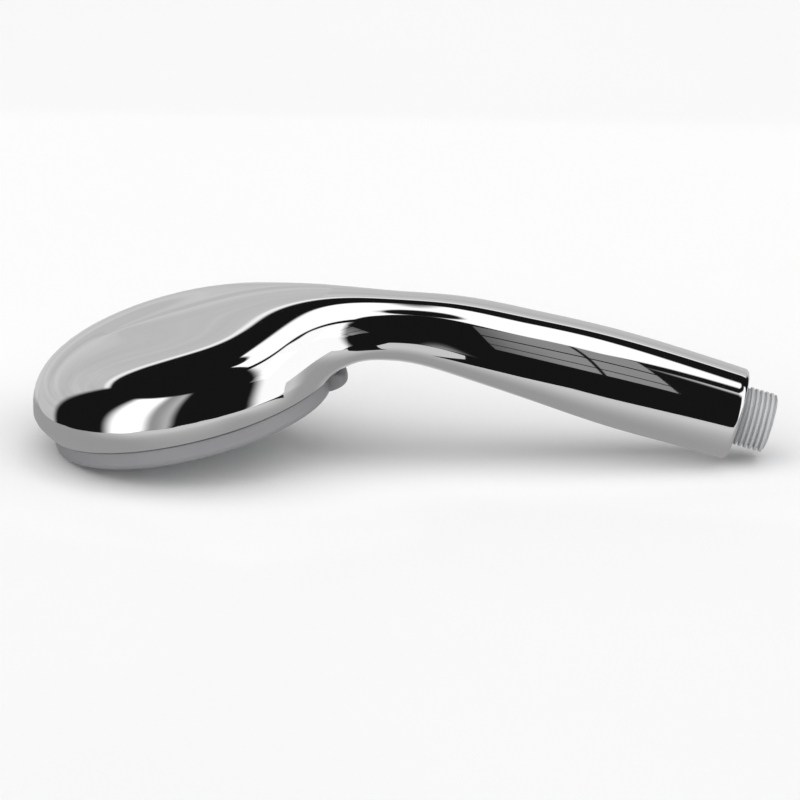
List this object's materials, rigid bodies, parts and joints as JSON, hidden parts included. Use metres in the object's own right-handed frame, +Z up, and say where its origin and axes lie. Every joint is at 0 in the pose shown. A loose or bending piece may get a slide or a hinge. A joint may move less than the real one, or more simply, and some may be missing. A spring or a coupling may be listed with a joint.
{
  "type": "handheld shower head",
  "caption": "Chromed handheld shower head with a round spray face, a thumb lever that turns the spray selector, and a threaded inlet.",
  "frame": {"origin": "below the middle of the object's bounding box, on the surface it lies on", "axes": "+Z up with the spray face down, +X from the head towards the threaded inlet, +Y across"},
  "size_m": [0.26, 0.1094, 0.0596],
  "materials": {
    "chrome_shell": "polished chrome plating on ABS",
    "grey_connector": "satin moulded acetal",
    "black_rubber": "smooth nitrile rubber",
    "blue_filter": "moulded polypropylene",
    "limiter_plastic": "moulded acetal",
    "white_plastic": "natural acetal",
    "screw_steel": "stainless steel",
    "spring_steel": "drawn stainless wire",
    "ball_steel": "polished steel ball",
    "washer_plastic": "PTFE",
    "grey_ring": "satin grey moulded plastic",
    "face_plastic": "satin light grey plastic",
    "nozzle_rubber": "grey silicone",
    "insert_plastic": "satin grey moulded plastic",
    "rotor_plastic": "natural acetal",
    "chrome_cap": "polished chrome plating on ABS"
  },
  "bodies": {
    "body": {"body_shell": "chrome_shell", "inlet_connector": "grey_connector", "connector_seal": "black_rubber", "filter_screen": "blue_filter", "flow_limiter": "limiter_plastic", "limiter_ring": "black_rubber", "waterway_tube": "white_plastic", "waterway_seal": "black_rubber", "distributor_base": "white_plastic", "base_screws": "screw_steel", "port_seals": "black_rubber", "port_springs": "spring_steel", "detent_spring": "spring_steel", "centre_screw": "screw_steel", "thrust_washer": "washer_plastic", "rotary_seal": "black_rubber"},
    "selector": {"selector_ring": "grey_ring", "spray_plate": "face_plastic", "nozzle_mat": "nozzle_rubber", "massage_insert": "insert_plastic", "distributor_disc": "white_plastic", "disc_seal": "black_rubber", "insert_seal": "black_rubber", "disc_screws": "screw_steel", "centre_cap": "chrome_cap"},
    "turbine": {"turbine_rotor": "rotor_plastic"},
    "detent": {"detent_ball": "ball_steel"}
  },
  "joints": [
    {"name": "selector_turn", "type": "hinge", "parent": "body", "child": "selector", "pos_m": [-0.07565, 0, 0.01887], "axis": [-0.247, 0, 0.969], "range_deg": [-35, 35]},
    {"name": "turbine_spin", "type": "hinge", "parent": "selector", "child": "turbine", "pos_m": [-0.07565, 0, 0.01887], "axis": [-0.247, 0, 0.969], "continuous": true},
    {"name": "detent_push", "type": "slide", "parent": "body", "child": "detent", "axis": [-0.247, 0, 0.969], "range_m": [0, 0.0006], "stiffness_N_per_m": 500}
  ]
}
